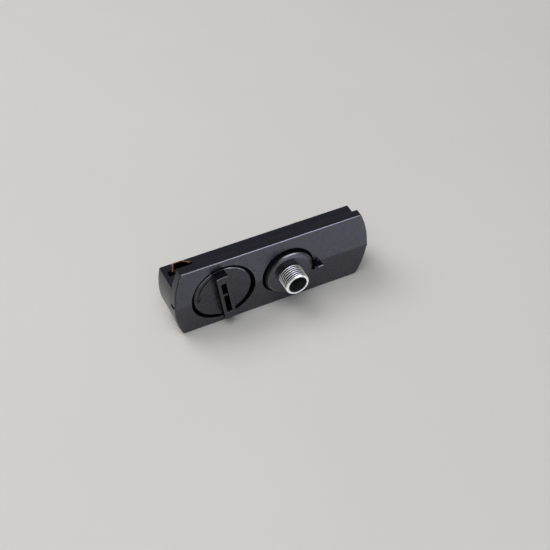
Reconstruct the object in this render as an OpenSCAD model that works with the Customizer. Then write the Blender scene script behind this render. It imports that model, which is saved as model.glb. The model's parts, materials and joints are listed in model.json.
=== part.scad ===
// Plug-in adapter for a single-circuit lighting track, with a rotary lock and a threaded lamp nipple.
// Every piece is drawn face up: x along the track, y across it, z out of the face, with z = 0 at
// the seat plane that bears on the track. face_up() then turns it to hang on a wall-run track.

/* [Cover] */
// Overall length, tip to tip of the curved ends
cover_l = 85; // [82:0.5:95]
// Width across the track
cover_w = 33.4; // [32.4:0.2:38]
// How far each curved end bulges past its corners
end_bulge = 3.6; // [2.6:0.1:5]
// Height of the long side walls
edge_h = 3.3; // [3.1:0.1:4]
// Rise of the face from its long edges to the ridge
roof_rise = 1.2; // [0.8:0.1:1.6]
// Thickness of the face
face_t = 1.6; // [1.3:0.1:1.8]
// Thickness of the side walls
cover_wall = 1.5; // [1.2:0.1:2]
// Thickness of the cross ribs behind the face
rib_t = 1; // [0.8:0.1:1.4]
// Number of cross ribs on each flank
rib_count = 4; // [3:1:6]
// Width of the rib that the track body seats on
seat_rib_w = 1.8; // [1.5:0.1:2.2]
// Step that the ribs and the track body's seat stand back from the rim
seat_step = 0.4; // [0.2:0.1:0.6]
// Width of the pry slit in each end
slit_w = 0.8; // [0.6:0.1:1.2]
// Height of the pry slit
slit_h = 3.2; // [2:0.1:3.3]
// Height of the face that is left whole above the pry slit
slit_land = 0.5; // [0.4:0.1:1]
// Depth of the pry slit into the end wall
slit_depth = 1; // [0.6:0.1:1.2]

/* [Track body] */
// Width of the part that enters the track
body_w = 16; // [15.6:0.2:18]
// Depth of the part that enters the track
body_d = 12; // [11.6:0.1:13]
// Thickness of the side and end walls
body_wall = 1.4; // [1.2:0.1:1.8]
// Thickness of the rear floor
body_floor = 1.7; // [1.5:0.1:1.9]
// Height of the locating tongues that enter the body
tongue_h = 1.2; // [0.8:0.1:1.4]
// Length of the longer locating tongues
tongue_l = 14; // [8:1:18]

/* [Dial] */
// Place of the dial along the track
dial_x = -21.7; // [-23:0.1:-20.5]
// Diameter of the dial
dial_d = 24.7; // [22:0.1:25.5]
// Open ring between the dial and the cover
dial_gap = 1.25; // [0.8:0.05:1.6]
// Thickness of the dial's disc
dial_t = 1.6; // [1.3:0.1:1.9]
// Thickness of the floor under the dial
recess_floor = 1.4; // [1.2:0.1:1.6]
// Width of the finger grip
grip_w = 4.9; // [4:0.1:6]
// Length of the finger grip across the dial
grip_l = 24.4; // [20:0.1:24.6]
// Height of the finger grip above the dial
grip_h = 3.9; // [3:0.1:5]
// Turn of the grip from square across the track, as it rests
grip_turn = 9; // [0:1:20]
// Width of the slot in the grip
grip_slot_w = 2.15; // [1.6:0.05:2.6]
// Length of the slot in the grip
grip_slot_l = 16.9; // [12:0.1:18]
// Thickness of the web across the slot
web_t = 0.9; // [0.6:0.1:1.4]
// Distance of the web from the dial's centre
web_offset = 1; // [0:0.1:2]
// Depth of the web's edge below the grip's top
web_sink = 1; // [0.6:0.1:2]
// Radius of the engraved turning arrow
arrow_r = 10.4; // [9:0.1:11]
// Width of the engraved line
arrow_w = 0.6; // [0.4:0.1:0.9]
// Depth of the engraving
arrow_depth = 0.3; // [0.2:0.1:0.5]
// Width of the arrow's head
arrow_head_w = 2.4; // [1.6:0.1:2.8]
// Length of the arrow's head
arrow_head_l = 1.8; // [1.2:0.1:2.6]
// Angle of the arrow's head round the dial, from the track's length
arrow_end = 180; // [160:1:190]
// Angle between the grip's side and the arrow's tail
arrow_clear = 2; // [1:1:6]
// Diameter of the spindle
spindle_d = 8; // [7:0.5:9]
// Width of the square drive on the spindle
drive_w = 4.6; // [4:0.1:5]
// Turn from rest to the released end stop
turn_back = 9; // [5:1:20]
// Turn from rest to the locked end stop
turn_on = 81; // [70:1:85]
// Diameter of the stop pin under the dial
stop_d = 1.8; // [1.4:0.1:2.2]
// Radius of the stop pin's path
stop_r = 9.8; // [8.5:0.1:10.3]

/* [Lock wing] */
// Length of the lock wing, tip to tip
wing_l = 21; // [19:0.5:23]
// Width of the lock wing
wing_w = 5; // [4:0.1:6]
// Thickness of the lock wing
wing_t = 2.8; // [2.2:0.1:3.2]
// Wall of the wing's hub outside the corners of the square drive
hub_wall = 1; // [0.8:0.1:1.4]
// Room for the track's lip between the seat plane and the wing
lip_room = 1.7; // [1.4:0.1:2]
// Diameter of the wing screw's thread
wing_screw_d = 2.5; // [2:0.5:3]
// Diameter of the wing screw's head
wing_head_d = 4.8; // [4:0.1:5.6]
// Height of the wing screw's head
wing_head_h = 1.5; // [1.2:0.1:1.8]
// Thickness of the washer under the wing screw
wing_washer_t = 0.4; // [0.3:0.1:0.6]

/* [Nipple] */
// Width of the land between the dial's recess and the collar
collar_gap = 3.3; // [2.4:0.1:4.5]
// Thread diameter of the nipple
nipple_d = 10; // [9:0.5:10.5]
// Diameter of the cable bore
nipple_bore = 7.3; // [6:0.1:7.6]
// Length of thread that stands out of the collar
nipple_out = 7; // [5:0.1:10]
// Chamfer on the nipple's ends
nipple_chamfer = 0.3; // [0.2:0.1:0.6]
// Width of the thread relief at the collar
relief_w = 0.6; // [0.4:0.1:0.8]
// Diameter of the ring collar on the nipple
collar_d = 22.4; // [20:0.1:23.4]
// Height of the collar above the ridge
collar_rise = 1.2; // [1:0.1:2.5]
// Radius on the collar's rim
collar_round = 1; // [0.6:0.1:1.2]
// Thickness of the cover wall that the nipple clamps
clamp_t = 1.4; // [1.2:0.1:1.8]
// Width of the hexagon nut across its flats
nut_af = 13; // [12:0.5:13]
// Height of the hexagon nut
nut_h = 2.4; // [2:0.1:2.8]
// Thickness of the toothed washer
washer_t = 0.4; // [0.3:0.1:0.6]
// Number of gaps between the washer's teeth
tooth_count = 12; // [8:1:16]
// Thickness of the earth tag
tag_t = 0.5; // [0.4:0.1:0.6]
// Width of the earth tag's tongue
tag_w = 3; // [2:0.1:4]
// Length of the earth tag's tongue behind the seat plane
tag_drop = 4; // [3:0.1:5]

/* [Stop fin] */
// Length of the fin beside the collar
fin_l = 2.6; // [1.6:0.1:3]
// Thickness of the fin
fin_t = 0.9; // [0.7:0.1:1.4]
// Height of the fin above the ridge
fin_h = 3.2; // [2:0.1:4]
// Width of the curved relief between the collar and the fin
fin_relief_w = 1.7; // [1.2:0.1:2]
// Angle that the relief runs up past the fin
fin_relief_up = 6; // [4:1:10]
// Angle that the relief runs down past the fin
fin_relief_down = 22; // [10:1:30]

/* [Contacts] */
// Thickness of the contact strips
leaf_t = 0.5; // [0.4:0.1:0.6]
// Width of a contact leaf in its pocket
leaf_w = 5; // [4:0.1:5.2]
// Width of a contact strip inside the body
strip_w = 3.4; // [2.8:0.1:3.6]
// How far a contact's nose stands out of the rear
nose_out = 0.2; // [0.1:0.1:0.6]
// Length of a side contact's nose
nose_l = 3.7; // [3:0.1:4]
// How far a side contact's leg leans toward the body's end
leg_lean = 1.9; // [1.4:0.1:2.1]
// How far the leg's foot reaches into its recess
foot_in = 0.6; // [0.4:0.1:1]
// Length of the foot's recess along the track
foot_l = 2.7; // [2.5:0.1:3]
// Depth of the foot's recess past the contact pocket
foot_h = 2.6; // [2:0.1:3]
// Length of a contact pocket along the track, with the foot's recess
pocket_l = 10.8; // [10.4:0.1:11.2]
// Depth of a contact pocket from the side
pocket_w = 5.5; // [5.4:0.1:5.8]
// Depth of a contact pocket from the rear
pocket_h = 3.5; // [3.2:0.1:4]
// Distance of a contact pocket from the body's end
pocket_end = 2.6; // [2.4:0.1:3.2]
// Thickness of a pocket's own walls
pocket_wall = 1; // [0.8:0.1:1.2]
// Distance of the nose's middle from the pocket's inner end
nose_back = 5; // [4.7:0.1:5.2]
// Length of the earth contact's flat end
strip_flat = 1.2; // [1:0.1:1.6]
// Length of the earth contact's nose
earth_nose_l = 1; // [0.6:0.1:1.4]
// Length of the earth contact's opening in the floor
earth_slot_l = 5.4; // [4.8:0.1:6]

/* [Terminals] */
// Length of a terminal
term_l = 5; // [4.6:0.1:6]
// Width of a terminal
term_w = 4.4; // [4:0.1:4.6]
// Height of a terminal
term_h = 5.2; // [4.8:0.1:5.6]
// Diameter of a terminal's wire hole
wire_d = 2.4; // [2:0.1:2.6]
// Distance of the wire hole above the terminal's foot
wire_rise = 1.9; // [1.7:0.1:2.2]
// Thread diameter of a terminal screw
term_screw_d = 2.5; // [2:0.5:3]
// Head diameter of a terminal screw
term_head_d = 3.8; // [3.4:0.1:4.2]
// Head height of a terminal screw
term_head_h = 1.5; // [1.2:0.1:1.8]
// Gap between the nipple and the terminals
term_gap = 1.6; // [1.2:0.1:3]
// Thickness of the insulating plate
plate_t = 0.8; // [0.6:0.1:1]
// Height of the insulating plate above the live strips
plate_rise = 1; // [0.8:0.1:1.2]
// Thickness of the rib between the live strips
spine_t = 1.2; // [1:0.1:1.4]

/* [Body screws] */
// Thread diameter of a body screw
body_screw_d = 2.2; // [2:0.1:2.5]
// Head diameter of a body screw
body_head_d = 4.2; // [3.8:0.1:4.4]
// Head height of a body screw
body_head_h = 1.3; // [1.1:0.1:1.5]
// Depth of a screw head below the rear face
head_sink = 0.3; // [0.2:0.1:0.6]
// Outer diameter of a screw post
boss_d = 5.2; // [4.8:0.1:5.6]
// Distance of the screw beside the dial from the dial's recess
boss_inset = 2.5; // [2.2:0.1:3]
// Distance of the far screw from the tip of the end
boss_end = 4.8; // [4.4:0.1:5.5]
// Width of the screwdriver slot in every screw
driver_w = 0.7; // [0.5:0.1:0.9]
// Depth of the screwdriver slot in every screw
driver_d = 0.7; // [0.5:0.1:0.9]

/* [Clearances] */
// Gap between pieces that move past each other
run_gap = 0.3; // [0.25:0.05:0.4]
// Radial gap of the spindle in its bearing
bearing_gap = 0.06; // [0.04:0.01:0.09]
// Radial gap of a fastener in its hole
thread_gap = 0.05; // [0.03:0.01:0.1]
// Gap of a piece that lies in a pocket
lay_gap = 0.1; // [0.05:0.05:0.2]

/* [Hidden] */
$fn = 72;
black = "#1c1c21";
zinc = "#c8cbcd";
copper = "#c5743a";
brass = "#c7a350";
pale = "#d6d2c6";
// Overshoot of a cut past the face that it opens
cut = 1;
// Turn of the grip's line from the track's length before its own turn
quarter = 90;

// Cover
half_l = cover_l / 2;
half_w = cover_w / 2;
end_r = (half_w ^ 2 + end_bulge ^ 2) / (2 * end_bulge);
end_centre = half_l - end_r;
ridge_z = edge_h + roof_rise;
hollow_half = half_w - cover_wall;

// Dial and its bearing
dial_r = dial_d / 2;
recess_r = dial_r + dial_gap;
cup_r = recess_r + cover_wall + run_gap;
dial_under = recess_floor + run_gap;
dial_face = dial_under + dial_t;
dial_mid = dial_under + dial_t / 2;
grip_top = dial_face + grip_h;
spindle_r = spindle_d / 2;
neck_h = lip_room - run_gap;
neck_r = spindle_r + cover_wall + lay_gap;
stop_tip = dial_under - 2 * run_gap - lay_gap;
stop_room = asin((stop_d / 2 + run_gap) / stop_r);

// Lock wing, hung below the seat plane
wing_top = -lip_room;
wing_foot = wing_top - wing_t;
washer_foot = wing_foot - wing_washer_t;
hub_r = drive_w / sqrt(2) + hub_wall;
window_foot = wing_foot - run_gap;

// Nipple stack
nipple_r = nipple_d / 2;
collar_r = collar_d / 2;
nipple_x = dial_x + recess_r + collar_gap + collar_r;
collar_foot = roof_z(collar_r) - run_gap;
collar_top = ridge_z + collar_rise;
nipple_tip = collar_top + nipple_out;
clamp_z = collar_foot - clamp_t;
tag_foot = clamp_z - tag_t;
washer_low = tag_foot - washer_t;
nut_foot = washer_low - nut_h;
nut_corner = nut_af / 2 / cos(30);
tag_r = nut_af / 2 - run_gap;
tag_out = nut_corner + run_gap + tag_t;
nut_boss_r = tag_out + run_gap + cover_wall;
nipple_foot = nut_foot - nipple_chamfer - lay_gap;
fin_x = nipple_x + collar_r + run_gap + lay_gap;

// Track body
body_half = body_w / 2;
inner_half = body_half - body_wall;
floor_z = -body_d + body_floor;
window_half = sqrt((wing_l / 2) ^ 2 - inner_half ^ 2) + 2 * run_gap;
boss_r = boss_d / 2;
boss_near = dial_x + recess_r + boss_inset;
boss_far = half_l - boss_end;
boss_places = [boss_near, boss_far];
screw_tip = recess_floor + run_gap;
head_seat = -body_d + head_sink + body_head_h;

// Contacts
strip_z = floor_z + leaf_t / 2;
strip_top = floor_z + leaf_t;
nose_z = -body_d - nose_out + leaf_t / 2;
pocket_x0 = -half_l + pocket_end;
pocket_x1 = pocket_x0 + pocket_l;
pocket_y = body_half - pocket_w;
pocket_roof = -body_d + pocket_h;
root_x = pocket_x1 - run_gap - leaf_t;
nose_x1 = pocket_x1 - nose_back + nose_l / 2;
nose_x0 = nose_x1 - nose_l;
foot_z = pocket_roof + foot_in;
leg_slope = leg_lean / (foot_z - nose_z);
leg_room = leaf_t / 2 * sqrt(1 + leg_slope ^ 2) + lay_gap;
leaf_path = [[pocket_x1 - run_gap, strip_z], [root_x, strip_z], [nose_x1, nose_z], [nose_x0, nose_z],
             [nose_x0 - leg_lean, foot_z]];
strip_y = inner_half - run_gap - strip_w / 2;
strip_edges = [strip_y - strip_w / 2, strip_y + strip_w / 2];
leaf_edges = [pocket_y + run_gap, pocket_y + run_gap + leaf_w];

// Terminals
term_x = nipple_x + nipple_r + term_gap;
term_y = inner_half - run_gap - term_w / 2;
earth_slot_x1 = boss_far - boss_r - run_gap - strip_flat;
earth_slot_x0 = earth_slot_x1 - earth_slot_l;
earth_term_x = earth_slot_x0 - run_gap - term_l;
term_top = strip_top + term_h;
term_places = [[term_x, term_y], [term_x, -term_y], [earth_term_x, 0]];
plate_foot = strip_top + plate_rise;
plate_x0 = pocket_x1 + pocket_wall + lay_gap;
plate_x1 = term_x - run_gap;

// Height of the roofed face at a distance y from its ridge
function roof_z(y) = edge_h + roof_rise * (1 - abs(y) / half_w);

// Edge of a contact pocket beside the leg, at a height z
function pocket_edge(z) = nose_x0 - leg_slope * (z - nose_z) - leg_room;

// Side normal of the step from a to b
function side(a, b) = let (d = (b - a) / norm(b - a)) [-d[1], d[0]];

// Mitred side normal of a path at its point i
function mitre(path, i) =
    i == 0 ? side(path[0], path[1]) :
    i == len(path) - 1 ? side(path[i - 1], path[i]) :
    let (a = side(path[i - 1], path[i]), b = side(path[i], path[i + 1])) (a + b) / (1 + a * b);

// Outline of a strip of thickness t folded along a path
function strip_outline(path, t) =
    let (last = len(path) - 1)
    concat([for (i = [0 : last]) path[i] + mitre(path, i) * t / 2],
           [for (i = [last : -1 : 0]) path[i] - mitre(path, i) * t / 2]);

// Turns a face-up drawing onto a wall-run track
module face_up() rotate([90, 0, 0]) children();

// Box between two limits on each axis
module box(x, y, z)
    translate([x[0], y[0], z[0]]) cube([x[1] - x[0], y[1] - y[0], z[1] - z[0]]);

// Round post standing on the xy plane between two heights
module post(x, y, r, z0, z1) translate([x, y, z0]) cylinder(r = r, h = z1 - z0);

// Hexagon prism with its flats across y
module hex(x, af, z0, z1) translate([x, 0, z0]) cylinder(d = af / cos(30), h = z1 - z0, $fn = 6);

// Prism across the track, drawn by its outline in the xz plane
module across(y0, y1, outline)
    translate([0, y1, 0]) rotate([90, 0, 0]) linear_extrude(y1 - y0) polygon(outline);

// Metal strip folded along a path in the xz plane
module folded(path, t, y0, y1) across(y0, y1, strip_outline(path, t));

// Plan outline with curved ends
module plan(w, inset = 0)
    for (end = [-1, 1])
        intersection() {
            translate([end * end_centre, 0]) circle(r = end_r - inset);
            translate([end > 0 ? -half_w : -half_l, -w / 2]) square([half_l + half_w, w]);
        }

// Prism along the track under a roofed section, inset from the cover's sides and lowered from its face
module roofed(half, drop)
    rotate([90, 0, 90]) linear_extrude(cover_l, center = true)
        polygon([[-half, -cut], [half, -cut], [half, roof_z(half) - drop], [0, ridge_z - drop],
                 [-half, roof_z(half) - drop]]);

// Solid form of the cover, stepped back where the track body seats
module cover_form() difference() {
    intersection() {
        linear_extrude(ridge_z) plan(cover_w);
        roofed(half_w, 0);
    }
    seat_half = body_half + lay_gap;
    box([-half_l - cut, half_l + cut], [-seat_half, seat_half], [-cut, seat_step]);
}

// Bearing neck and locating tongues, which stand into the track body
module cover_guides() {
    post(dial_x, 0, neck_r, -neck_h, recess_floor);
    wing_room = wing_l / 2 + 2 * run_gap;
    for (flank = [-1, 1], ends = [[term_x, term_x + tongue_l], [pocket_x0, dial_x - wing_room]])
        translate([0, flank * (inner_half - lay_gap - rib_t / 2), 0])
            box(ends, [-rib_t / 2, rib_t / 2], [-tongue_h, edge_h]);
}

// What stays standing inside the cover's hollow
module cover_supports() {
    post(dial_x, 0, cup_r, seat_step, ridge_z);
    post(nipple_x, 0, nut_boss_r, seat_step, ridge_z);
    for (x = boss_places) post(x, 0, boss_r, seat_step, ridge_z);
    for (flank = [-1, 1])
        translate([0, flank * (body_half - seat_rib_w / 2), 0])
            box([-half_l, half_l], [-seat_rib_w / 2, seat_rib_w / 2], [seat_step, ridge_z]);
    rib_x0 = dial_x + cup_r;
    rib_step = (half_l - cover_wall - rib_x0) / rib_count;
    rib_half = (half_w - body_half) / 2;
    for (i = [0 : rib_count - 1], flank = [-1, 1])
        translate([rib_x0 + i * rib_step, flank * (half_w + body_half) / 2, 0])
            box([-rib_t / 2, rib_t / 2], [-rib_half, rib_half], [seat_step, ridge_z]);
}

// Hollow behind the cover's face
module cover_hollow() difference() {
    intersection() {
        translate([0, 0, -cut]) linear_extrude(ridge_z + cut) plan(2 * hollow_half, cover_wall);
        roofed(hollow_half, face_t);
    }
    cover_supports();
}

// Arc groove in the dial's floor that the stop pin runs in
module stop_groove() {
    groove = stop_d + 2 * run_gap;
    translate([dial_x, 0, stop_tip - run_gap]) rotate([0, 0, -turn_back - stop_room])
        rotate_extrude(angle = turn_back + turn_on + 2 * stop_room)
            translate([stop_r - groove / 2, 0]) square([groove, dial_face]);
}

// Stop fin beside the collar, with a round edge
module fin() {
    round_z = ridge_z + fin_h - fin_t / 2;
    translate([fin_x, 0, 0]) rotate([90, 0, 90]) linear_extrude(fin_l) {
        translate([-fin_t / 2, clamp_z]) square([fin_t, round_z - clamp_z]);
        translate([0, round_z]) circle(d = fin_t);
    }
}

// Roofed front cover
module cover() color(black) face_up() {
    difference() {
        union() {
            difference() {
                cover_form();
                cover_hollow();
            }
            cover_guides();
        }
        post(dial_x, 0, recess_r, recess_floor, ridge_z + cut);
        post(dial_x, 0, spindle_r + bearing_gap, -neck_h - cut, ridge_z);
        stop_groove();
        post(nipple_x, 0, collar_r + lay_gap, collar_foot, ridge_z + cut);
        translate([nipple_x, 0, collar_foot]) rotate([0, 0, -fin_relief_down])
            rotate_extrude(angle = fin_relief_up + fin_relief_down)
                translate([collar_r - lay_gap, 0]) square([fin_relief_w + lay_gap, ridge_z]);
        post(nipple_x, 0, nipple_r + lay_gap, -cut, ridge_z);
        hex(nipple_x, nut_af + 2 * lay_gap, -cut, clamp_z);
        tag_half = tag_w / 2 + run_gap;
        box([nipple_x - tag_out - run_gap, nipple_x], [-tag_half, tag_half], [-cut, clamp_z]);
        for (x = boss_places) post(x, 0, body_screw_d / 2 + thread_gap, -cut, screw_tip + run_gap);
        for (end = [-1, 1])
            translate([end * half_l, 0, ridge_z - slit_land - slit_h])
                box([-slit_depth, slit_depth], [-slit_w / 2, slit_w / 2], [0, slit_h]);
    }
    fin();
}

// Live side of the track body: walls round the contact's pocket and its foot's recess
module pocket_shell()
    for (reach = [[pocket_x1, pocket_roof], [pocket_x0 + foot_l, pocket_roof + foot_h]])
        box([-half_l + body_wall, reach[0] + pocket_wall], [pocket_y - pocket_wall, inner_half + lay_gap],
            [floor_z - lay_gap, reach[1] + pocket_wall]);

// Pocket that follows a contact leaf, and the slot that its strip leaves by
module pocket_notch() {
    ramp_x = nose_x1 + leaf_t / 2;
    rear = -body_d - cut;
    across(pocket_y, body_half + cut,
           [[pocket_x1, pocket_roof], [pocket_x1, floor_z], [root_x + leaf_t / 2, floor_z],
            [ramp_x, floor_z + nose_z - strip_z], [ramp_x, rear], [pocket_edge(rear), rear],
            [pocket_edge(pocket_roof), pocket_roof], [pocket_x0, pocket_roof],
            [pocket_x0, pocket_roof + foot_h], [pocket_x0 + foot_l, pocket_roof + foot_h],
            [pocket_x0 + foot_l, pocket_roof]]);
    box([pocket_x1 - cut, pocket_x1 + pocket_wall + cut],
        [strip_edges[0] - lay_gap, strip_edges[1] + lay_gap], [floor_z, strip_top + lay_gap]);
}

// Trough that enters the track
module track_body() color(black) face_up() difference() {
    union() {
        difference() {
            translate([0, 0, -body_d]) linear_extrude(body_d + seat_step) plan(body_w);
            translate([0, 0, floor_z]) linear_extrude(body_d) plan(2 * inner_half, body_wall);
        }
        for (flank = [0, 1]) mirror([0, flank, 0]) pocket_shell();
        for (x = boss_places) post(x, 0, boss_r, floor_z - lay_gap, seat_step);
        box([pocket_x1, plate_x1], [-spine_t / 2, spine_t / 2], [floor_z - lay_gap, plate_foot]);
        box([plate_x1 + lay_gap, term_x + term_l], [-spine_t / 2, spine_t / 2],
            [floor_z - lay_gap, term_top]);
    }
    for (flank = [0, 1]) mirror([0, flank, 0]) pocket_notch();
    box([dial_x - window_half, dial_x + window_half], [-body_half - cut, body_half + cut],
        [window_foot, cut]);
    hex(nipple_x, nut_af + lay_gap, nut_foot - run_gap, cut);
    slot_half = strip_w / 2 + run_gap;
    box([earth_slot_x0, earth_slot_x1], [-slot_half, slot_half], [-body_d - cut, floor_z + cut]);
    for (x = boss_places) {
        post(x, 0, body_screw_d / 2 + thread_gap, -body_d - cut, cut);
        post(x, 0, body_head_d / 2 + lay_gap, -body_d - cut, head_seat);
    }
}

// Finger grip across the dial, with its slot and web
module grip() rotate([0, 0, grip_turn]) difference() {
    intersection() {
        post(0, 0, grip_l / 2, dial_mid, grip_top);
        box([-grip_w / 2, grip_w / 2], [-dial_r, dial_r], [dial_mid, grip_top]);
    }
    difference() {
        box([-grip_slot_w / 2, grip_slot_w / 2], [-grip_slot_l / 2, grip_slot_l / 2],
            [dial_face, grip_top + cut]);
        box([-grip_w / 2, grip_w / 2], [web_offset - web_t / 2, web_offset + web_t / 2],
            [dial_mid, grip_top - web_sink]);
    }
}

// Curved arrow that shows the turn to lock
module turn_arrow() {
    arrow_start = quarter + grip_turn + asin(grip_w / 2 / arrow_r) + arrow_clear;
    rotate([0, 0, arrow_start])
        rotate_extrude(angle = arrow_end - arrow_start)
            translate([arrow_r - arrow_w / 2, 0]) square([arrow_w, grip_h]);
    rotate([0, 0, arrow_end])
        translate([arrow_r, 0]) linear_extrude(grip_h)
            polygon([[-arrow_head_w / 2, 0], [arrow_head_w / 2, 0], [0, arrow_head_l]]);
}

// Lock dial with its spindle
module dial() color(black) face_up() translate([dial_x, 0, 0]) difference() {
    union() {
        post(0, 0, dial_r, dial_under, dial_face);
        grip();
        post(0, 0, spindle_r, wing_top, dial_mid);
        translate([0, 0, wing_foot + run_gap]) rotate([0, 0, grip_turn])
            box([-drive_w / 2, drive_w / 2], [-drive_w / 2, drive_w / 2], [0, wing_t]);
        post(stop_r, 0, stop_d / 2, stop_tip, dial_mid);
    }
    translate([0, 0, dial_face - arrow_depth]) turn_arrow();
    post(0, 0, wing_screw_d / 2 + thread_gap, wing_foot - cut, recess_floor);
}

// Wing that swings behind the track's lips
module lock_wing() color(zinc) face_up() translate([dial_x, 0, 0]) rotate([0, 0, grip_turn]) difference() {
    union() {
        intersection() {
            post(0, 0, wing_l / 2, wing_foot, wing_top);
            box([-wing_l / 2, wing_l / 2], [-wing_w / 2, wing_w / 2], [wing_foot, wing_top]);
        }
        post(0, 0, hub_r, wing_foot, wing_top);
    }
    box([-drive_w / 2 - lay_gap, drive_w / 2 + lay_gap], [-drive_w / 2 - lay_gap, drive_w / 2 + lay_gap],
        [wing_foot - cut, wing_top + cut]);
}

// Washer under the wing screw
module wing_washer() color(zinc) face_up() difference() {
    post(dial_x, 0, hub_r, washer_foot, wing_foot);
    post(dial_x, 0, wing_screw_d / 2 + thread_gap, washer_foot - cut, wing_foot + cut);
}

// Screw with a slotted round head, thread upwards from its head's foot
module slotted_screw(d, tip, head_d, head_h) difference() {
    union() {
        post(0, 0, head_d / 2, -head_h, 0);
        post(0, 0, d / 2, (driver_d - head_h) / 2, tip);
    }
    box([-head_d, head_d], [-driver_w / 2, driver_w / 2], [-head_h - cut, driver_d - head_h]);
}

// Screw that holds the wing on the spindle
module wing_screw() color(zinc) face_up() translate([dial_x, 0, washer_foot])
    slotted_screw(wing_screw_d, recess_floor - run_gap - washer_foot, wing_head_d, wing_head_h);

// Ring collar threaded on the nipple
module collar() color(black) face_up() translate([nipple_x, 0, 0]) rotate_extrude() difference() {
    union() {
        translate([0, collar_foot]) square([collar_r, collar_top - collar_foot - collar_round]);
        translate([0, collar_foot]) square([collar_r - collar_round, collar_top - collar_foot]);
        translate([collar_r - collar_round, collar_top - collar_round]) circle(r = collar_round);
    }
    translate([0, collar_foot - cut]) square([nipple_r + thread_gap, collar_top]);
}

// Hollow threaded nipple, with a thread relief at the collar's top
module nipple() color(zinc) face_up() translate([nipple_x, 0, 0]) rotate_extrude()
    polygon([[nipple_bore / 2, nipple_foot], [nipple_r - nipple_chamfer, nipple_foot],
             [nipple_r, nipple_foot + nipple_chamfer], [nipple_r, collar_top - relief_w / 2],
             [nipple_r - relief_w / 2, collar_top - relief_w / 2],
             [nipple_r - relief_w / 2, collar_top + relief_w / 2],
             [nipple_r, collar_top + relief_w / 2], [nipple_r, nipple_tip - nipple_chamfer],
             [nipple_r - nipple_chamfer, nipple_tip], [nipple_bore / 2, nipple_tip]]);

// Earth tag under the nut, with its tongue bent into the body
module earth_tag() color(brass) face_up() difference() {
    tag_mid = clamp_z - tag_t / 2;
    bend_x = nipple_x - tag_out + tag_t / 2;
    union() {
        post(nipple_x, 0, tag_r, tag_foot, clamp_z);
        folded([[nipple_x - nipple_r, tag_mid], [bend_x, tag_mid], [bend_x, -tag_drop]],
               tag_t, -tag_w / 2, tag_w / 2);
    }
    post(nipple_x, 0, nipple_r + lay_gap, tag_foot - cut, clamp_z + cut);
    translate([bend_x - tag_t / 2 - cut, 0, -tag_drop + tag_w / 2])
        rotate([0, 90, 0]) cylinder(d = tag_w / 2, h = tag_t + 2 * cut);
}

// Toothed washer between the tag and the nut
module toothed_washer() color(zinc) face_up() difference() {
    post(nipple_x, 0, tag_r, washer_low, tag_foot);
    post(nipple_x, 0, nipple_r + lay_gap, washer_low - cut, tag_foot + cut);
    for (i = [1 : tooth_count])
        translate([nipple_x, 0, 0]) rotate([0, 0, i * 360 / tooth_count])
            box([tag_r - washer_t, tag_r + cut], [-washer_t / 2, washer_t / 2],
                [washer_low - cut, tag_foot + cut]);
}

// Hexagon nut that clamps the nipple
module nipple_nut() color(brass) face_up() difference() {
    hex(nipple_x, nut_af, nut_foot, washer_low);
    post(nipple_x, 0, nipple_r + thread_gap, nut_foot - cut, washer_low + cut);
}

// Contact strip from a terminal to its sprung leaf, on the live side
module side_contact() {
    box([root_x + leaf_t / 2, term_x + term_l], strip_edges, [floor_z, strip_top]);
    folded(leaf_path, leaf_t, leaf_edges[0], leaf_edges[1]);
}

module live_contact() color(copper) face_up() side_contact();
module neutral_contact() color(copper) face_up() mirror([0, 1, 0]) side_contact();

// Earth contact, sprung through the floor
module earth_contact() color(copper) face_up() {
    middle = (earth_slot_x0 + earth_slot_x1) / 2;
    folded([[earth_term_x, strip_z], [earth_slot_x0 + 2 * run_gap, strip_z],
            [middle - earth_nose_l / 2, nose_z], [middle + earth_nose_l / 2, nose_z],
            [earth_slot_x1 - 2 * run_gap, strip_z], [earth_slot_x1 + strip_flat, strip_z]],
           leaf_t, -strip_w / 2, strip_w / 2);
}

// Brass terminal with a wire hole and a screw hole
module terminal(place) color(brass) face_up() translate([place[0], place[1], strip_top]) difference() {
    box([0, term_l], [-term_w / 2, term_w / 2], [0, term_h]);
    translate([-cut, 0, wire_rise]) rotate([0, 90, 0]) cylinder(d = wire_d, h = term_l + 2 * cut);
    post(term_l / 2, 0, term_screw_d / 2 + thread_gap, wire_rise, term_h + cut);
}

module live_terminal() terminal(term_places[0]);
module neutral_terminal() terminal(term_places[1]);
module earth_terminal() terminal(term_places[2]);

// Clamping screws of the terminals
module terminal_screws() color(zinc) face_up()
    for (place = term_places)
        translate([place[0] + term_l / 2, place[1], term_top]) mirror([0, 0, 1])
            slotted_screw(term_screw_d, term_h - wire_rise, term_head_d, term_head_h);

// Insulating plate over the live strips
module insulating_plate() color(pale) face_up() difference() {
    box([plate_x0, plate_x1], [-inner_half + run_gap, inner_half - run_gap],
        [plate_foot, plate_foot + plate_t]);
    post(boss_near, 0, boss_r + run_gap, plate_foot - cut, plate_foot + plate_t + cut);
}

// Screws from the rear of the body into the cover
module body_screws() color(zinc) face_up()
    for (x = boss_places)
        translate([x, 0, head_seat])
            slotted_screw(body_screw_d, screw_tip - head_seat, body_head_d, body_head_h);

cover();
track_body();
dial();
lock_wing();
wing_washer();
wing_screw();
collar();
nipple();
earth_tag();
toothed_washer();
nipple_nut();
live_contact();
neutral_contact();
earth_contact();
live_terminal();
neutral_terminal();
earth_terminal();
terminal_screws();
insulating_plate();
body_screws();
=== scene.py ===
import json
import math

import bmesh
import bpy
from mathutils import Matrix, Vector

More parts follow.
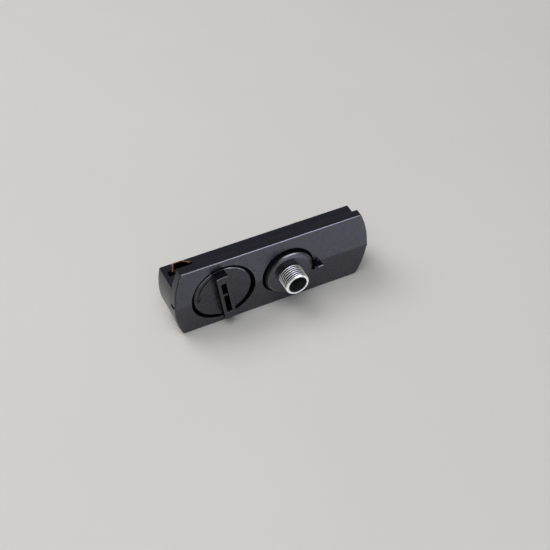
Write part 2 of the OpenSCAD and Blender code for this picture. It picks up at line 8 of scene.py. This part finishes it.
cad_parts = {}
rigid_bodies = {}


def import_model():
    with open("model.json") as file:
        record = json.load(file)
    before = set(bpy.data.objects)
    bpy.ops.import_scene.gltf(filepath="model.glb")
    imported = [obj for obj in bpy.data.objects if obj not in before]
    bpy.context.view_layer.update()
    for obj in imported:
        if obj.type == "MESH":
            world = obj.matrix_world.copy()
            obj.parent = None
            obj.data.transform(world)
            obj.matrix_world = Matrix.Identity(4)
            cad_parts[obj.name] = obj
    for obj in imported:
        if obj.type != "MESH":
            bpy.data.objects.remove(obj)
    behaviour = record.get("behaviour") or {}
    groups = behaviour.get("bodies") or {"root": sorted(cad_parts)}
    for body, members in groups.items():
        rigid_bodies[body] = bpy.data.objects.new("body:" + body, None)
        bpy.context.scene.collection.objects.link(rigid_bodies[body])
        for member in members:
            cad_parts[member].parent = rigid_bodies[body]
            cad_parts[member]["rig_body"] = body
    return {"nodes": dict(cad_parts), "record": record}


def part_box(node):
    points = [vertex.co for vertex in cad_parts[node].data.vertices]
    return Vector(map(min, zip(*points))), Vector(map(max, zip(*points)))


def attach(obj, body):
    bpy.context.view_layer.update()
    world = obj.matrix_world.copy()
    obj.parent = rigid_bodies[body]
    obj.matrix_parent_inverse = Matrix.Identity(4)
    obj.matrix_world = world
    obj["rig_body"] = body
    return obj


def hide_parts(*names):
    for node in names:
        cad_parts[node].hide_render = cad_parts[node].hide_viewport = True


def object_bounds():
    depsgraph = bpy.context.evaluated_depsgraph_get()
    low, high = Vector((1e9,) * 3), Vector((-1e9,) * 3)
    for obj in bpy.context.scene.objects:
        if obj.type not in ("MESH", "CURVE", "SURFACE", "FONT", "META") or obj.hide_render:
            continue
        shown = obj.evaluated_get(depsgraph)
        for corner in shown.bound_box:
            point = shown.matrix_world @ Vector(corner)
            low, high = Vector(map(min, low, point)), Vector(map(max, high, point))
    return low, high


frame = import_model()
cadLow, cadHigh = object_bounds()
mm = 0.001
scene = bpy.context.scene
scene.view_settings.view_transform = "Standard"
print("frame loaded with", len(frame["nodes"]), "nodes")


# shader maths: a wrapped socket adds Math nodes when it meets an operator
class Wire:
    def __init__(self, finish, socket):
        self.finish = finish
        self.socket = socket

    def maths(self, operation, first, second):
        return self.finish.add("Math", {"operation": operation}, {0: first, 1: second})

    def __add__(self, other):
        return self.maths("ADD", self, other)

    def __sub__(self, other):
        return self.maths("SUBTRACT", self, other)

    def __rsub__(self, other):
        return self.maths("SUBTRACT", other, self)

    def __mul__(self, other):
        return self.maths("MULTIPLY", self, other)

    __radd__ = __add__
    __rmul__ = __mul__


# a plain colour gets its alpha, a wired one stays as it is
def opaque(colour):
    return colour if isinstance(colour, Wire) else (*colour, 1)


# a material with its node tree at hand
class Finish:
    def __init__(self, name):
        self.material = bpy.data.materials.new(name)
        self.material.use_nodes = True
        self.tree = self.material.node_tree
        self.shader = self.tree.nodes["Principled BSDF"]
        self.body = Wire(self, self.shader.outputs[0])
        self.place = self.add("TexCoord", out="Object")

    def feed(self, node, sockets):
        for key, value in sockets.items():
            if isinstance(value, Wire):
                self.tree.links.new(value.socket, node.inputs[key])
            else:
                node.inputs[key].default_value = value

    def add(self, kind, settings=None, sockets=None, out=0):
        node = self.tree.nodes.new("ShaderNode" + kind)
        for key, value in (settings or {}).items():
            setattr(node, key, value)
        self.feed(node, sockets or {})
        return Wire(self, node.outputs[out])

    # the share that a piece's mesh carries under this name
    def mark(self, name):
        return self.add("Attribute", {"attribute_name": name}, out="Fac")

    def noise(self, scale, detail=2, roughness=0.5, stretch=(1, 1, 1)):
        spot = self.add("Mapping", {}, {"Vector": self.place, "Scale": stretch})
        return self.add("TexNoise", {}, {"Vector": spot, "Scale": scale, "Detail": detail,
                                         "Roughness": roughness})

    # a Mix node carries colours on its inputs 6 and 7 and its output 2
    def blend(self, share, first, second):
        sockets = {0: share, 6: opaque(first), 7: opaque(second)}
        return self.add("Mix", {"data_type": "RGBA"}, sockets, out=2)

    # a plain dull shader takes over where the share is high
    def dullWhere(self, share, colour):
        plain = self.add("BsdfDiffuse", {}, {"Color": opaque(colour)})
        mixed = self.add("MixShader", {}, {0: share, 1: self.body, 2: plain})
        self.feed(self.tree.nodes["Material Output"], {"Surface": mixed})

    def relief(self, height, depth):
        return self.add("Bump", {}, {"Height": height, "Distance": depth, "Strength": 1})


# spark-eroded black moulding, a touch blue
def mouldedBlack():
    look = dict(deep=(0.006, 0.0058, 0.0105), pale=(0.012, 0.0115, 0.019), shadeBlack=(0.004, 0.004, 0.005),
                grain=5200, grainDetail=3, grainRough=0.6, grainShare=0.7, mottle=180, mottleShare=0.3,
                roughLow=0.23, roughSpan=0.09, depth=0.012 * mm, edgeGloss=2.2, edgeRough=0.3)
    finish = Finish("moulded_black")
    grain = finish.noise(look["grain"], look["grainDetail"], look["grainRough"])
    mottle = finish.noise(look["mottle"])
    speck = grain * look["grainShare"] + mottle * look["mottleShare"]
    finish.feed(finish.shader, {
        "Base Color": finish.blend(speck, look["deep"], look["pale"]),
        "Roughness": look["roughLow"] + look["roughSpan"] * mottle,
        "Coat Weight": finish.mark("polish"),
        "Coat IOR": look["edgeGloss"],
        "Coat Roughness": look["edgeRough"],
        "Normal": finish.relief(grain, look["depth"]),
    })
    # painted shade: a dark plain shader takes over on the faces a piece marks as shaded
    finish.dullWhere(finish.mark("hollow"), look["shadeBlack"])
    return finish.material


# bright zinc plating, with painted shade where a piece marks it: the thread roots and the bore
def zincPlate():
    look = dict(cool=(0.78, 0.81, 0.80), warm=(0.90, 0.90, 0.80), shadeColour=(0.03, 0.032, 0.03),
                unshaded=0.08, edge=3, cloud=320, grit=6000, roughLow=0.2, roughSpan=0.14, depth=0.004 * mm)
    finish = Finish("zinc_plate")
    grit = finish.noise(look["grit"])
    plate = finish.blend(finish.noise(look["cloud"]), look["cool"], look["warm"])
    # painted shade, deeper toward the thread roots, and in the bore
    shadeMix = (finish.mark("hollow") - look["unshaded"]) * look["edge"]
    finish.feed(finish.shader, {
        "Base Color": finish.blend(shadeMix, plate, look["shadeColour"]),
        "Metallic": 1.0,
        "Roughness": look["roughLow"] + look["roughSpan"] * grit,
        "Normal": finish.relief(grit, look["depth"]),
    })
    return finish.material


# rolled strip or turned stock, with its streaks along one axis
def streakedMetal(name, look):
    finish = Finish(name)
    streak = finish.noise(look["streak"], look["streakDetail"], look["streakRough"], look["stretch"])
    tarnish = finish.noise(look["tarnish"])
    wear = streak * look["streakShare"] + tarnish * (1 - look["streakShare"])
    skin = finish.blend(wear, look["darker"], look["bright"])
    finish.feed(finish.shader, {
        # painted shade where a piece marks it, on a contact leaf's front side
        "Base Color": finish.blend(finish.mark("hollow"), skin, look["shadeColour"]),
        "Metallic": 1.0,
        "Roughness": look["roughLow"] + look["roughSpan"] * streak,
        "Normal": finish.relief(streak, look["depth"]),
    })
    return finish.material


# unpigmented insulating plastic
def naturalPlastic():
    look = dict(shade=(0.60, 0.56, 0.47), light=(0.72, 0.69, 0.61), cloud=420, detail=3, rough=0.5,
                depth=0.01 * mm)
    finish = Finish("natural_plastic")
    cloud = finish.noise(look["cloud"], look["detail"])
    finish.feed(finish.shader, {
        "Base Color": finish.blend(cloud, look["shade"], look["light"]),
        "Roughness": look["rough"],
        "Normal": finish.relief(cloud, look["depth"]),
    })
    return finish.material


rolledCopper = dict(darker=(0.58, 0.26, 0.08), bright=(0.92, 0.50, 0.20), shadeColour=(0.03, 0.013, 0.006),
                    streak=3200, streakDetail=3, streakRough=0.6, streakShare=0.5, stretch=(0.08, 1, 1),
                    tarnish=260, roughLow=0.22, roughSpan=0.2, depth=0.004 * mm)
turnedBrass = dict(darker=(0.52, 0.36, 0.12), bright=(0.80, 0.60, 0.26), shadeColour=(0.03, 0.02, 0.008),
                   streak=2600, streakDetail=3, streakRough=0.6, streakShare=0.5, stretch=(1, 0.1, 1),
                   tarnish=300, roughLow=0.24, roughSpan=0.16, depth=0.004 * mm)
finishes = {
    "black_plastic": mouldedBlack(),
    "zinc_steel": zincPlate(),
    "copper": streakedMetal("rolled_copper", rolledCopper),
    "brass": streakedMetal("turned_brass", turnedBrass),
    "pale_plastic": naturalPlastic(),
}
slotOf = {part["node"]: part["material_slot"] for part in frame["record"]["subparts"]}
for node, shape in frame["nodes"].items():
    shape.data.materials.clear()
    shape.data.materials.append(finishes[slotOf[node]])
print("finishes made:", ", ".join(finishes))


# welding distance, the bends that sort edges, and how many steps a round has
edgeWork = dict(weld=0.002 * mm, flat=math.radians(0.4), gentle=math.radians(7), sharp=math.radians(28),
                crease=math.radians(40), rounds=3)


# turns a bmesh into a finished piece that rides on its node's body
def finishPiece(bm, name, node):
    mesh = bpy.data.meshes.new(name)
    rounded = bm.faces.layers.float.get("rounded")
    for edge in bm.edges:
        sides = {face[rounded] for face in edge.link_faces} if rounded else {0}
        edge.smooth = len(sides) == 1 and edge.calc_face_angle(0) < edgeWork["crease"]
    bm.to_mesh(mesh)
    bm.free()
    mesh.materials.append(finishes[slotOf[node]])
    piece = bpy.data.objects.new(name, mesh)
    scene.collection.objects.link(piece)
    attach(piece, frame["nodes"][node]["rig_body"])
    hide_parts(node)
    print("piece", name, "stands for", node, "with", len(mesh.polygons), "faces")


# smooth shading for curved walls only, so flat faces stay flat
def shadeCurves(bm):
    for face in bm.faces:
        bends = [edge.calc_face_angle(0) for edge in face.edges]
        face.smooth = any(edgeWork["flat"] < bend < edgeWork["gentle"] for bend in bends)


# a node's own shape, welded and with its flat faces whole
def nodeShape(node):
    bm = bmesh.new()
    bm.from_mesh(frame["nodes"][node].data)
    for mark in ("polish", "hollow", "rounded"):
        bm.faces.layers.float.new(mark)
    bmesh.ops.remove_doubles(bm, verts=bm.verts, dist=edgeWork["weld"])
    bmesh.ops.dissolve_limit(bm, angle_limit=edgeWork["flat"], verts=bm.verts, edges=bm.edges)
    shadeCurves(bm)
    return bm


# joins each vertex to the one that follows, spins the section a full turn and closes its seam
def turnSection(bm, verts, follow, centre, axis, steps):
    edges = [bm.edges.new(pair) for pair in zip(verts, follow)]
    bmesh.ops.spin(bm, geom=verts + edges, cent=centre, axis=axis, angle=math.tau, steps=steps,
                   use_merge=True)
    bmesh.ops.remove_doubles(bm, verts=bm.verts, dist=edgeWork["weld"])
    bmesh.ops.recalc_face_normals(bm, faces=bm.faces)


def middleOf(edge):
    return (edge.verts[0].co + edge.verts[1].co) / 2


# breaks every sharp edge that the test lets through
def roundEdges(bm, width, wanted=None):
    edges = [edge for edge in bm.edges
             if len(edge.link_faces) == 2 and edge.calc_face_angle(0) > edgeWork["sharp"]
             and (wanted is None or wanted(edge))]
    made = bmesh.ops.bevel(bm, geom=edges, offset=width, offset_type="OFFSET", affect="EDGES",
                           segments=edgeWork["rounds"], profile=0.5, material=-1, clamp_overlap=False,
                           loop_slide=False)
    rounded = bm.faces.layers.float["rounded"]
    for face in made["faces"]:
        face.smooth = True
        face[rounded] = 1
    return made["faces"]


# marks faces for their finish: polished by handling, or darkened by painted shade
def markFaces(bm, mark, share, wanted, faces=None):
    layer = bm.faces.layers.float[mark]
    for face in faces or bm.faces:
        if wanted(face.calc_center_median(), face.normal):
            face[layer] = share


# mouldings and metalwork that keep their node's form, with broken edges
softened = {
    "track_body": dict(name="body_moulding", round=0.2 * mm),
    "lock_wing": dict(name="wing_plate", round=0.25 * mm),
    "wing_washer": dict(name="wing_ring", round=0.06 * mm),
    "wing_screw": dict(name="wing_fastener", round=0.1 * mm),
    "body_screws": dict(name="body_fasteners", round=0.1 * mm),
    "live_contact": dict(name="live_leaf", round=0.06 * mm, inward=-0.3, darker=0.9),
    "neutral_contact": dict(name="neutral_leaf", round=0.06 * mm, inward=-0.3, darker=0.9),
    "earth_contact": dict(name="earth_leaf", round=0.06 * mm, inward=-0.3, darker=0.9),
}
for node, look in softened.items():
    bm = nodeShape(node)
    roundEdges(bm, look["round"])
    if "inward" in look:  # a contact leaf's front side gets painted shade
        markFaces(bm, "hollow", look["darker"], lambda spot, normal: normal.y < look["inward"])
    finishPiece(bm, look["name"], node)


# ridged cover: a full round along its outline, finer ones elsewhere, and opened slits at its ends
def roundedCover():
    size = dict(outline=0.45 * mm, other=0.15 * mm,  # rounds
                side=16.6 * mm, end=38.6 * mm, back=0.5 * mm, fin=5.5 * mm, finFoot=0.8 * mm,
                ridge=4.5 * mm, fall=1.2 / 16.7, sink=0.13 * mm, inset=1 * mm,  # the roof
                slit=41.2 * mm, slitHalf=0.45 * mm, slitOpen=2.4, slitReach=1 * mm, slitDeep=0.7 * mm,
                facing=0.9, upright=0.1, along=0.25, lit=0.15, outward=0.3,  # limits of a face's normal
                slitWall=0.5, finWall=0.7,
                edgeShine=0.6, finShine=0.5, finShade=0.7, holeShade=1)  # shares of polish and of painted shade
    bm = nodeShape("cover")

    def onOutline(edge):
        middle = middleOf(edge)
        beside = abs(middle.z) > size["side"]
        facing = max(abs(face.normal.y) for face in edge.link_faces)
        outside = beside or abs(middle.x) > size["end"]
        corner = beside and facing < size["upright"]
        return outside and middle.y < -size["back"] and (facing > size["facing"] or corner)

    def onLongEdge(spot, normal):
        return abs(normal.x) < size["along"] and normal.z > size["lit"] and normal.y < -size["outward"]

    # walls and floors below the roofed face, which get painted shade: the dial's recess, the collar's seat
    # and the fin's relief
    def sunk(spot, normal):
        roof = size["ridge"] - size["fall"] * abs(spot.z)
        inside = abs(spot.z) < size["side"] - size["inset"] and abs(spot.x) < size["end"]
        return inside and size["sink"] - roof < spot.y < -size["back"]

    def offSlit(edge):
        middle = middleOf(edge)
        return abs(middle.x) < size["slit"] or abs(middle.z) > size["slitReach"]

    def inSlit(spot, normal):
        within = abs(spot.x) > size["slit"] and abs(spot.z) < size["slitReach"]
        bottom = abs(spot.x) < size["slit"] + size["slitDeep"]
        return within and (abs(normal.z) > size["slitWall"] or bottom)

    def onFinEdge(spot, normal):
        return spot.y < -size["fin"] and normal.z > size["lit"]

    def onFinWall(spot, normal):
        return spot.y < -size["fin"] + size["finFoot"] and max(normal.z, -normal.x) > size["finWall"]

    for vert in bm.verts:
        if abs(vert.co.x) > size["slit"] and abs(vert.co.z) < size["slitHalf"]:
            vert.co.z *= size["slitOpen"]
    made = roundEdges(bm, size["outline"], onOutline)
    markFaces(bm, "polish", size["edgeShine"], onLongEdge, made)
    roundEdges(bm, size["other"], offSlit)
    markFaces(bm, "polish", size["finShine"], onFinEdge)
    # painted shade on the fin's top and left walls, in the sunk recesses and in the slits
    markFaces(bm, "hollow", size["finShade"], onFinWall)
    markFaces(bm, "hollow", size["holeShade"], sunk)
    markFaces(bm, "hollow", size["holeShade"], inSlit)
    finishPiece(bm, "cover_moulding", "cover")


# lock dial: rim, grip and engraving each with their own round
def roundedDial():
    size = dict(rim=0.45 * mm, grip=0.2 * mm, other=0.06 * mm,  # rounds
                radius=12.25 * mm, clear=3.2 * mm, turn=math.radians(9), level=0.01 * mm,
                engraved=-3.27 * mm, engraveDepth=0.28 * mm, topSkin=0.02 * mm, discDrop=1 * mm,
                slotLong=8.5 * mm, slotWide=1.12 * mm, slotTop=0.15 * mm, webTop=1.3 * mm, endLand=1 * mm,
                flat=0.95, facing=0.9, lit=0.15, endLit=0.3, outward=0.2,  # limits of a face's normal
                rimShine=0.8, endShine=0.7, webShine=0.3,  # shares of polish
                discShade=0.16, wallShade=0.75, topShade=0.2, slotShade=0.9,  # shares of painted shade
                arrowShade=0.5, webShade=0.4)
    bm = nodeShape("dial")
    low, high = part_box("dial")
    centreX = (low.x + high.x) / 2
    front = low.y

    # a spot's place along and beside the grip's length
    def onGrip(spot):
        aside, up = spot.x - centreX, spot.z
        turn = size["turn"]
        along = abs(up * math.cos(turn) - aside * math.sin(turn))
        beside = abs(aside * math.cos(turn) + up * math.sin(turn))
        return along, beside

    def onRim(edge):
        along, beside = onGrip(middleOf(edge))
        return math.hypot(along, beside) > size["radius"] and beside > size["clear"]

    def onRimTop(spot, normal):
        return normal.z > size["lit"] and normal.y < -size["outward"]

    def onGripTop(edge):
        return all(abs(vert.co.y - front) < size["level"] for vert in edge.verts)

    def onGripEnd(spot, normal):
        beyond = onGrip(spot)[0] > size["slotLong"] + size["endLand"]
        return beyond and normal.z > size["endLit"] and normal.y < -size["outward"]

    def onDisc(spot, normal):
        return normal.y < -size["flat"] and spot.y > front + size["discDrop"]

    def onGripWall(spot, normal):
        return max(normal.z, -normal.x) > size["facing"] and spot.y < size["engraved"]

    def onGripFace(spot, normal):
        return spot.y < front + size["topSkin"]

    def inSlot(spot, normal):
        along, beside = onGrip(spot)
        return along < size["slotLong"] and beside < size["slotWide"] and spot.y > front + size["slotTop"]

    def inArrow(spot, normal):
        flush = size["engraved"] < spot.y < size["engraved"] + size["engraveDepth"]
        return flush and math.hypot(*onGrip(spot)) < size["radius"] - size["rim"]

    def onWeb(spot, normal):
        return inSlot(spot, normal) and normal.y < -size["facing"] and spot.y < front + size["webTop"]

    made = roundEdges(bm, size["rim"], onRim)
    markFaces(bm, "polish", size["rimShine"], onRimTop, made)
    made = roundEdges(bm, size["grip"], onGripTop)
    markFaces(bm, "polish", size["endShine"], onGripEnd, made)
    roundEdges(bm, size["other"])
    # painted shade on the disc, the grip's walls and face, in the slot, in the engraved arrow and on the web
    markFaces(bm, "hollow", size["discShade"], onDisc)
    markFaces(bm, "hollow", size["wallShade"], onGripWall)
    markFaces(bm, "hollow", size["topShade"], onGripFace)
    markFaces(bm, "hollow", size["slotShade"], inSlot)
    markFaces(bm, "hollow", size["arrowShade"], inArrow)
    markFaces(bm, "hollow", size["webShade"], onWeb)
    markFaces(bm, "polish", size["webShine"], onWeb)
    finishPiece(bm, "dial_moulding", "dial")


# ring collar: a wall with painted shade under a domed face; its section is radius and height over the node's
# front, in mm
def ringCollar():
    size = dict(section=((5.05, 0.4), (7.6, 0.4), (8.5, 0.35), (9.2, 0.22), (9.75, 0.02), (10.15, -0.23),
                         (10.42, -0.52), (10.6, -0.9), (11.1, -1.6)),
                steps=96, shine=0.5, upShine=0.9, upFrom=0.06, sideShine=0.6, sideFrom=0.03,  # polish
                wall=0.6, lowSide=0.1, lowTop=0.9, leftSide=0.25, leftTop=0.86,  # limits of a face's normal
                wallShade=1, lowShade=0.35, leftShade=0.8)  # shares of painted shade
    low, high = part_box("collar")
    centre = (low + high) / 2
    bm = bmesh.new()
    for mark in ("polish", "hollow"):
        bm.faces.layers.float.new(mark)
    inner, outer = size["section"][0][0], size["section"][-1][0]
    section = [bm.verts.new((centre.x + reach * mm, low.y - rise * mm, centre.z))
               for reach, rise in size["section"]]
    section += [bm.verts.new((centre.x + reach * mm, high.y, centre.z)) for reach in (outer, inner)]
    turnSection(bm, section, section[1:] + section[:1], centre, (0, 1, 0), size["steps"])
    shadeCurves(bm)

    def onWall(spot, normal):
        return abs(normal.y) < size["wall"]

    def onLowShoulder(spot, normal):
        return normal.z < size["lowSide"] and size["wall"] < -normal.y < size["lowTop"]

    def onLeftShoulder(spot, normal):
        return normal.x < -size["leftSide"] and size["wall"] < -normal.y < size["leftTop"]

    # the dome's polish grows toward its top and its left
    gloss = bm.faces.layers.float["polish"]
    for face in bm.faces:
        lit = max(size["upShine"] * face.normal.z - size["upFrom"],
                  -size["sideShine"] * face.normal.x - size["sideFrom"])
        face[gloss] = max(0, min(size["shine"], lit)) if -face.normal.y > size["wall"] else 0
    # painted shade on the lower and left shoulders and on the wall
    markFaces(bm, "hollow", size["lowShade"], onLowShoulder)
    markFaces(bm, "hollow", size["leftShade"], onLeftShoulder)
    markFaces(bm, "hollow", size["wallShade"], onWall)
    finishPiece(bm, "collar_ring", "collar")


# lamp nipple with its metric fine thread and a bore; its thread roots and bore get painted shade
def threadedNipple():
    size = dict(pitch=1.0 * mm, depth=0.6 * mm, crest=0.12, root=0.16,  # the last two are shares of the pitch
                steps=96, spare=2, plain=0.32 * mm, chamfer=0.28 * mm, bore=3.65 * mm, mouth=3.95 * mm,
                shade=0.24)  # how much painted shade the bore gets
    low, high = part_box("nipple")
    radius = (high.x - low.x) / 2
    length = high.y - low.y
    pitch = size["pitch"]
    weld = edgeWork["weld"]
    flank = (1 - size["crest"] - size["root"]) / 2
    shares = (0, size["crest"], size["crest"] + flank, size["crest"] + flank + size["root"])
    bm = bmesh.new()

    # the thread's outline with spare turns at both ends, spun one turn along its pitch
    line = []
    for turn in range(-size["spare"], round(length / pitch) + size["spare"]):
        for step, share in enumerate(shares):
            reach = radius - (size["depth"] if step > 1 else 0)
            line.append(bm.verts.new((reach, 0, (turn + share) * pitch)))
    edges = [bm.edges.new(pair) for pair in zip(line, line[1:])]
    bmesh.ops.spin(bm, geom=line + edges, cent=(0, 0, 0), axis=(0, 0, 1), angle=math.tau,
                   steps=size["steps"], dvec=(0, 0, pitch / size["steps"]))
    bmesh.ops.remove_doubles(bm, verts=bm.verts, dist=weld)

    # cut to length, with a plain rim at the tip and a chamfer at both ends
    plain = length - size["plain"]
    for height, side in ((0, -1), (length, 1), (plain, 0), (length - size["chamfer"], 0)):
        bmesh.ops.bisect_plane(bm, geom=bm.verts[:] + bm.edges[:] + bm.faces[:], plane_co=(0, 0, height),
                               plane_no=(0, 0, side or 1), clear_outer=side != 0)
    for vert in bm.verts:
        if vert.co.z > plain + weld:
            vert.co.xy *= radius / vert.co.xy.length
        limit = radius - size["chamfer"] + min(vert.co.z, length - vert.co.z)
        reach = vert.co.xy.length
        if reach > limit:
            vert.co.xy *= limit / reach

    # end rings, joined by the bore
    rims = []
    for height, bore in ((0, size["bore"]), (length, size["mouth"])):
        rim = [edge for edge in bm.edges if edge.is_boundary
               and all(abs(vert.co.z - height) < weld for vert in edge.verts)]
        made = bmesh.ops.extrude_edge_only(bm, edges=rim)["geom"]
        for vert in made:
            if isinstance(vert, bmesh.types.BMVert):
                vert.co.xy *= bore / vert.co.xy.length
        rims += [edge for edge in made if isinstance(edge, bmesh.types.BMEdge) and edge.is_boundary]
    bmesh.ops.bridge_loops(bm, edges=rims)
    bmesh.ops.recalc_face_normals(bm, faces=bm.faces)

    # a cut behind the mouth, so that the bore's painted shade starts at once
    inside = size["mouth"] + weld
    tube = [face for face in bm.faces if all(vert.co.xy.length < inside for vert in face.verts)]
    tube += list({part for face in tube for part in (*face.verts, *face.edges)})
    bmesh.ops.bisect_plane(bm, geom=tube, plane_co=(0, 0, length - size["chamfer"]), plane_no=(0, 0, 1))
    shadeCurves(bm)

    # painted shade toward the thread roots and in the bore
    hollow = bm.verts.layers.float.new("hollow")
    for vert in bm.verts:
        if inside > vert.co.xy.length:
            vert[hollow] = 0 if length - vert.co.z < weld else size["shade"]
        elif vert.co.z < plain + weld:
            vert[hollow] = (radius - vert.co.xy.length) / size["depth"]
    place = Matrix.Translation((low.x + radius, high.y, low.z + radius))
    bmesh.ops.transform(bm, matrix=place @ Matrix.Rotation(math.radians(90), 4, "X"), verts=bm.verts)
    finishPiece(bm, "threaded_nipple", "nipple")


roundedCover()
roundedDial()
ringCollar()
threadedNipple()


# pale table that rises into a backdrop all round
def studioFloor():
    look = dict(reach=1.6, bend=0.5, climb=math.radians(80), turns=12, steps=96,
                colour=(0.68, 0.675, 0.66), shade=(0.65, 0.645, 0.63), mottle=14, rough=0.28, gloss=2.4,
                dim=0.05, dark=(0, 0, 0))
    bm = bmesh.new()
    ground = cadLow.z
    foot = look["reach"] - look["bend"]
    line = [bm.verts.new((0, 0, ground)), bm.verts.new((foot, 0, ground))]
    for turn in range(1, look["turns"] + 1):
        angle = look["climb"] * turn / look["turns"]
        line.append(bm.verts.new((foot + look["bend"] * math.sin(angle), 0,
                                  ground + look["bend"] * (1 - math.cos(angle)))))
    turnSection(bm, line, line[1:], (0, 0, 0), (0, 0, 1), look["steps"])
    mesh = bpy.data.meshes.new("studio_floor")
    for face in bm.faces:
        face.smooth = True
    bm.to_mesh(mesh)
    bm.free()
    # the camera sees a matte table; its sheen shows only in the part's reflections
    finish = Finish("pale_table")
    paper = finish.blend(finish.noise(look["mottle"]), look["shade"], look["colour"])
    finish.feed(finish.shader, {
        "Base Color": paper,
        "Roughness": look["rough"],
        "IOR": look["gloss"],
    })
    matte = finish.blend(look["dim"], paper, look["dark"])
    finish.dullWhere(finish.add("LightPath", out="Is Camera Ray"), matte)
    mesh.materials.append(finish.material)
    floor = bpy.data.objects.new("studio_floor", mesh)
    scene.collection.objects.link(floor)


studioFloor()
print("floor laid at", round(cadLow.z / mm, 2), "mm")


# soft lamps, in metres and watts; the key shows in no reflection, and the cards show only there
lamps = {
    "back_key": dict(place=(-0.48, 0.5, 1.15), size=(0.8, 0.8), power=9.2, colour=(1, 0.98, 0.95),
                     unseenBy="glossy"),
    "front_fill": dict(place=(-0.35, -0.5, 1.35), size=(1.1, 1.1), power=10.6, colour=(1, 0.99, 0.98),
                       unseenBy=None),
    "front_card": dict(place=(0.15, -1.25, 0.22), size=(1.6, 0.5), power=2.6, colour=(0.9, 0.92, 1),
                       unseenBy="diffuse"),
    "blue_card": dict(place=(0.46, -1.01, 0.58), size=(0.8, 0.44), power=12.5, colour=(0.72, 0.72, 1),
                      unseenBy="diffuse"),
}
room = dict(colour=(0.55, 0.57, 0.60), strength=0.35)
aim = Vector((0, 0, 0))
for name, lamp in lamps.items():
    light = bpy.data.lights.new(name, "AREA")
    light.shape = "RECTANGLE"
    light.size, light.size_y = lamp["size"]
    light.energy = lamp["power"]
    light.color = lamp["colour"]
    holder = bpy.data.objects.new(name, light)
    holder.location = lamp["place"]
    holder.rotation_euler = (aim - holder.location).to_track_quat("-Z", "Y").to_euler()
    holder.visible_camera = False
    holder.visible_diffuse = lamp["unseenBy"] != "diffuse"
    holder.visible_glossy = lamp["unseenBy"] != "glossy"
    scene.collection.objects.link(holder)
world = bpy.data.worlds.new("room")
world.use_nodes = True
background = world.node_tree.nodes["Background"]
background.inputs["Color"].default_value = (*room["colour"], 1)
background.inputs["Strength"].default_value = room["strength"]
scene.world = world
print("lamps set:", ", ".join(lamps))

# the photograph's viewpoint
cameraView = dict(place=(-0.14866, -0.28684, 0.33211), right=(0.89386, -0.44787, 0.02058),
                  back=(-0.32390, -0.61336, 0.72033), lens=76.24, sensor=36, near=0.01)
camera = bpy.data.cameras.new("camera")
camera.lens = cameraView["lens"]
camera.sensor_width = cameraView["sensor"]
camera.clip_start = cameraView["near"]
viewer = bpy.data.objects.new("camera", camera)
right, back = Vector(cameraView["right"]), Vector(cameraView["back"])
turn = Matrix((right, back.cross(right), back)).transposed().to_4x4()
viewer.matrix_world = Matrix.Translation(cameraView["place"]) @ turn
scene.collection.objects.link(viewer)
scene.camera = viewer
print("camera placed")
